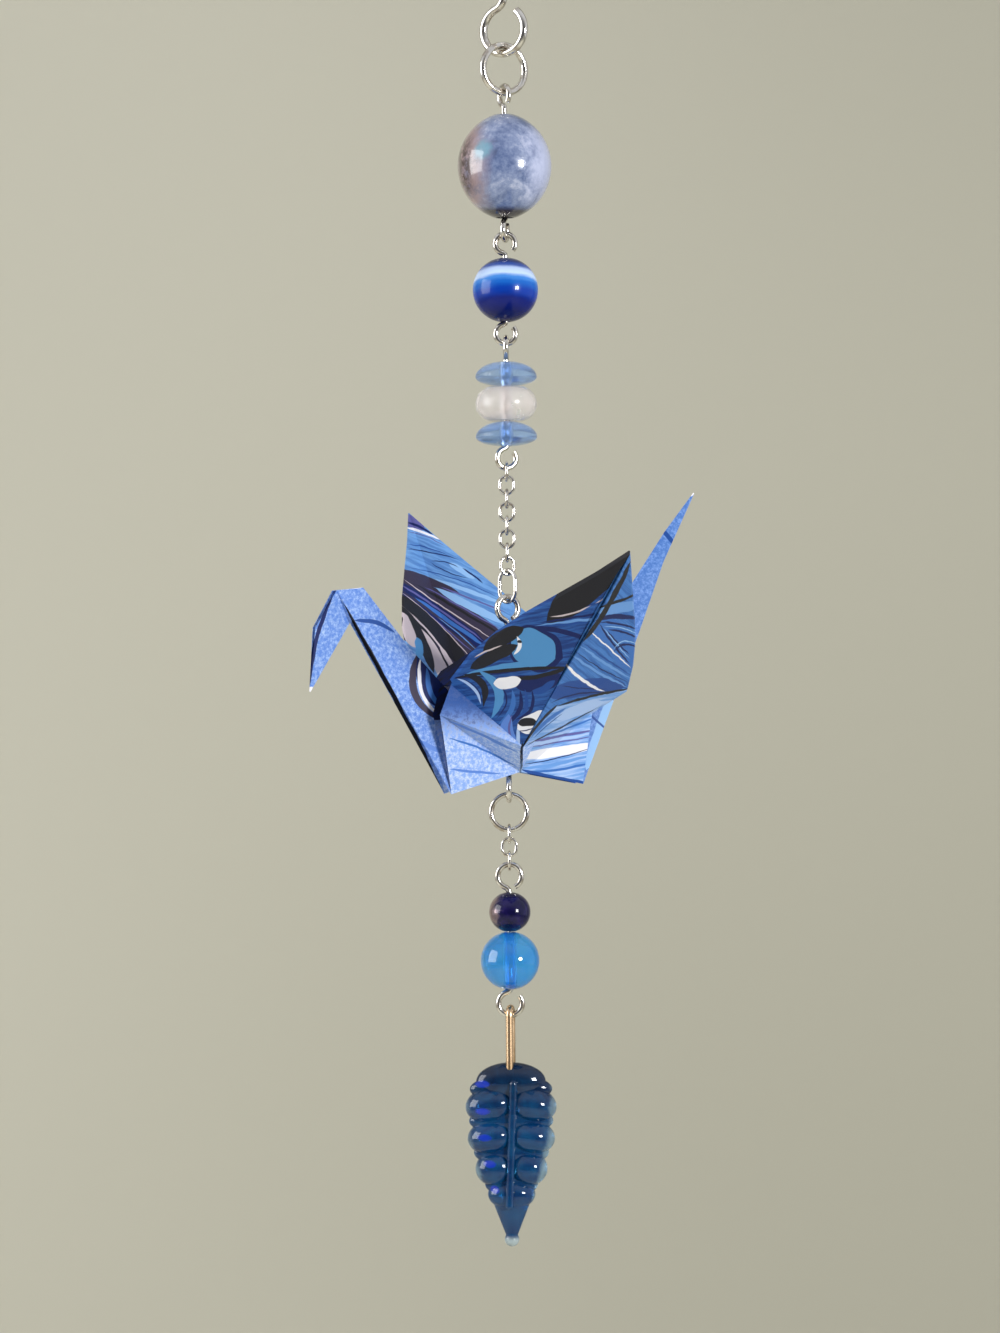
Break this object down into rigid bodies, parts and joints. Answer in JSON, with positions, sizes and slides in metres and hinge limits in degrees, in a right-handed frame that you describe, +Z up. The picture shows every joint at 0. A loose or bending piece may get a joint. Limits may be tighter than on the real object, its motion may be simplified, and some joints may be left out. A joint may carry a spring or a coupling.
{
  "type": "origami crane ornament",
  "caption": "Hanging ornament: a folded paper crane on a line of wire eye pins with beads, fine chain, a glass leaf and a hook to hang it by.",
  "frame": {"origin": "inner top of the hanger hook, where the ornament hangs", "axes": "+Z up along the line that everything hangs on, +X to the right and +Y away from the viewer"},
  "size_m": [0.0472, 0.0707, 0.1746],
  "materials": {
    "silver_wire": "bright plated wire",
    "lavender_glaze": "glossy mottled glaze",
    "cats_eye_glass": "polished, with a pale band",
    "frosted_blue_glass": "satin",
    "milky_glass": "polished, milky",
    "marbled_paper": "marbled, slightly satin",
    "dark_lustre_glass": "polished with a lustre",
    "opal_blue_glass": "polished",
    "gold_wire": "antique, satin",
    "teal_glass": "pressed, fire polished"
  },
  "bodies": {
    "hanger_hook": {"hanger_hook": "silver_wire"},
    "top_jump_ring": {"top_jump_ring": "silver_wire"},
    "glazed_bead_pin": {"glazed_bead_pin": "silver_wire"},
    "glazed_bead": {"glazed_bead": "lavender_glaze"},
    "cats_eye_pin": {"cats_eye_pin": "silver_wire"},
    "cats_eye_bead": {"cats_eye_bead": "cats_eye_glass"},
    "disc_stack_pin": {"disc_stack_pin": "silver_wire"},
    "upper_blue_disc": {"upper_blue_disc": "frosted_blue_glass"},
    "white_rondelle": {"white_rondelle": "milky_glass"},
    "lower_blue_disc": {"lower_blue_disc": "frosted_blue_glass"},
    "chain_link_1": {"chain_link_1": "silver_wire"},
    "chain_link_2": {"chain_link_2": "silver_wire"},
    "chain_link_3": {"chain_link_3": "silver_wire"},
    "chain_link_4": {"chain_link_4": "silver_wire"},
    "chain_link_5": {"chain_link_5": "silver_wire"},
    "chain_link_6": {"chain_link_6": "silver_wire"},
    "chain_link_7": {"chain_link_7": "silver_wire"},
    "chain_link_8": {"chain_link_8": "silver_wire"},
    "oval_link": {"oval_link": "silver_wire"},
    "crane_pin": {"crane_pin": "silver_wire", "paper_crane": "marbled_paper"},
    "crane_ring": {"crane_ring": "silver_wire"},
    "lower_chain_link_1": {"lower_chain_link_1": "silver_wire"},
    "lower_chain_link_2": {"lower_chain_link_2": "silver_wire"},
    "lower_chain_link_3": {"lower_chain_link_3": "silver_wire"},
    "drop_pin": {"drop_pin": "silver_wire"},
    "dark_bead": {"dark_bead": "dark_lustre_glass"},
    "blue_bead": {"blue_bead": "opal_blue_glass"},
    "leaf": {"leaf_wire": "gold_wire", "glass_leaf": "teal_glass"}
  },
  "joints": [
    {"name": "top_ring_swing", "type": "hinge", "parent": "hanger_hook", "child": "top_jump_ring", "pos_m": [0, 0, -0.02792], "axis": [0.866, -0.5, 0], "range_deg": [-40, 40]},
    {"name": "glazed_bead_swing", "type": "hinge", "parent": "top_jump_ring", "child": "glazed_bead_pin", "pos_m": [0, 0, -0.03273], "axis": [-0.8746, -0.4848, 0], "range_deg": [-40, 40]},
    {"name": "cats_eye_swing", "type": "hinge", "parent": "glazed_bead_pin", "child": "cats_eye_pin", "pos_m": [0, 0, -0.05071], "axis": [0.2079, 0.9781, 0], "range_deg": [-40, 40]},
    {"name": "disc_stack_swing", "type": "hinge", "parent": "cats_eye_pin", "child": "disc_stack_pin", "pos_m": [0, 0, -0.06337], "axis": [1, 0, 0], "range_deg": [-40, 40]},
    {"name": "chain_link_1_swing", "type": "hinge", "parent": "disc_stack_pin", "child": "chain_link_1", "pos_m": [0, 0, -0.07854], "axis": [-0.9397, -0.342, 0], "range_deg": [-40, 40]},
    {"name": "chain_link_2_swing", "type": "hinge", "parent": "chain_link_1", "child": "chain_link_2", "pos_m": [0, 0, -0.08003], "axis": [0, -1, 0], "range_deg": [-40, 40]},
    {"name": "chain_link_3_swing", "type": "hinge", "parent": "chain_link_2", "child": "chain_link_3", "pos_m": [0, 0, -0.08167], "axis": [1, 0, 0], "range_deg": [-40, 40]},
    {"name": "chain_link_4_swing", "type": "hinge", "parent": "chain_link_3", "child": "chain_link_4", "pos_m": [0, 0, -0.08331], "axis": [0, 1, 0], "range_deg": [-40, 40]},
    {"name": "chain_link_5_swing", "type": "hinge", "parent": "chain_link_4", "child": "chain_link_5", "pos_m": [0, 0, -0.08495], "axis": [-1, 0, 0], "range_deg": [-40, 40]},
    {"name": "chain_link_6_swing", "type": "hinge", "parent": "chain_link_5", "child": "chain_link_6", "pos_m": [0, 0, -0.08659], "axis": [0, -1, 0], "range_deg": [-40, 40]},
    {"name": "chain_link_7_swing", "type": "hinge", "parent": "chain_link_6", "child": "chain_link_7", "pos_m": [0, 0, -0.08823], "axis": [1, 0, 0], "range_deg": [-40, 40]},
    {"name": "chain_link_8_swing", "type": "hinge", "parent": "chain_link_7", "child": "chain_link_8", "pos_m": [0, 0, -0.08987], "axis": [0, 1, 0], "range_deg": [-40, 40]},
    {"name": "oval_link_swing", "type": "hinge", "parent": "chain_link_8", "child": "oval_link", "pos_m": [0, 0, -0.09151], "axis": [-0.9397, -0.342, 0], "range_deg": [-40, 40]},
    {"name": "crane_swing", "type": "hinge", "parent": "oval_link", "child": "crane_pin", "pos_m": [0, 0, -0.0949], "axis": [0.7071, -0.7071, 0], "range_deg": [-35, 35]},
    {"name": "crane_ring_swing", "type": "hinge", "parent": "crane_pin", "child": "crane_ring", "pos_m": [0, 0, -0.11912], "axis": [0, -1, 0], "range_deg": [-40, 40]},
    {"name": "lower_chain_link_1_swing", "type": "hinge", "parent": "crane_ring", "child": "lower_chain_link_1", "pos_m": [0, 0, -0.12273], "axis": [-1, 0, 0], "range_deg": [-40, 40]},
    {"name": "lower_chain_link_2_swing", "type": "hinge", "parent": "lower_chain_link_1", "child": "lower_chain_link_2", "pos_m": [0, 0, -0.12425], "axis": [0, 1, 0], "range_deg": [-40, 40]},
    {"name": "lower_chain_link_3_swing", "type": "hinge", "parent": "lower_chain_link_2", "child": "lower_chain_link_3", "pos_m": [0, 0, -0.12589], "axis": [1, 0, 0], "range_deg": [-40, 40]},
    {"name": "drop_swing", "type": "hinge", "parent": "lower_chain_link_3", "child": "drop_pin", "pos_m": [0, 0, -0.12753], "axis": [0, -1, 0], "range_deg": [-40, 40]},
    {"name": "leaf_swing", "type": "hinge", "parent": "drop_pin", "child": "leaf", "pos_m": [0, 0, -0.14535], "axis": [-1, 0, 0], "range_deg": [-40, 40]},
    {"name": "glazed_bead_spin", "type": "hinge", "parent": "glazed_bead_pin", "child": "glazed_bead", "pos_m": [0, 0, -0.0417], "axis": [0, 0, 1], "continuous": true},
    {"name": "cats_eye_bead_spin", "type": "hinge", "parent": "cats_eye_pin", "child": "cats_eye_bead", "pos_m": [0, 0, -0.0568], "axis": [0, 0, 1], "continuous": true},
    {"name": "upper_blue_disc_spin", "type": "hinge", "parent": "disc_stack_pin", "child": "upper_blue_disc", "pos_m": [0, 0, -0.06704], "axis": [0, 0, 1], "continuous": true},
    {"name": "white_rondelle_spin", "type": "hinge", "parent": "disc_stack_pin", "child": "white_rondelle", "pos_m": [0, 0, -0.07069], "axis": [0, 0, 1], "continuous": true},
    {"name": "lower_blue_disc_spin", "type": "hinge", "parent": "disc_stack_pin", "child": "lower_blue_disc", "pos_m": [0, 0, -0.07436], "axis": [0, 0, 1], "continuous": true},
    {"name": "dark_bead_spin", "type": "hinge", "parent": "drop_pin", "child": "dark_bead", "pos_m": [0, 0, -0.13274], "axis": [0, 0, 1], "continuous": true},
    {"name": "blue_bead_spin", "type": "hinge", "parent": "drop_pin", "child": "blue_bead", "pos_m": [0, 0, -0.13868], "axis": [0, 0, 1], "continuous": true}
  ]
}
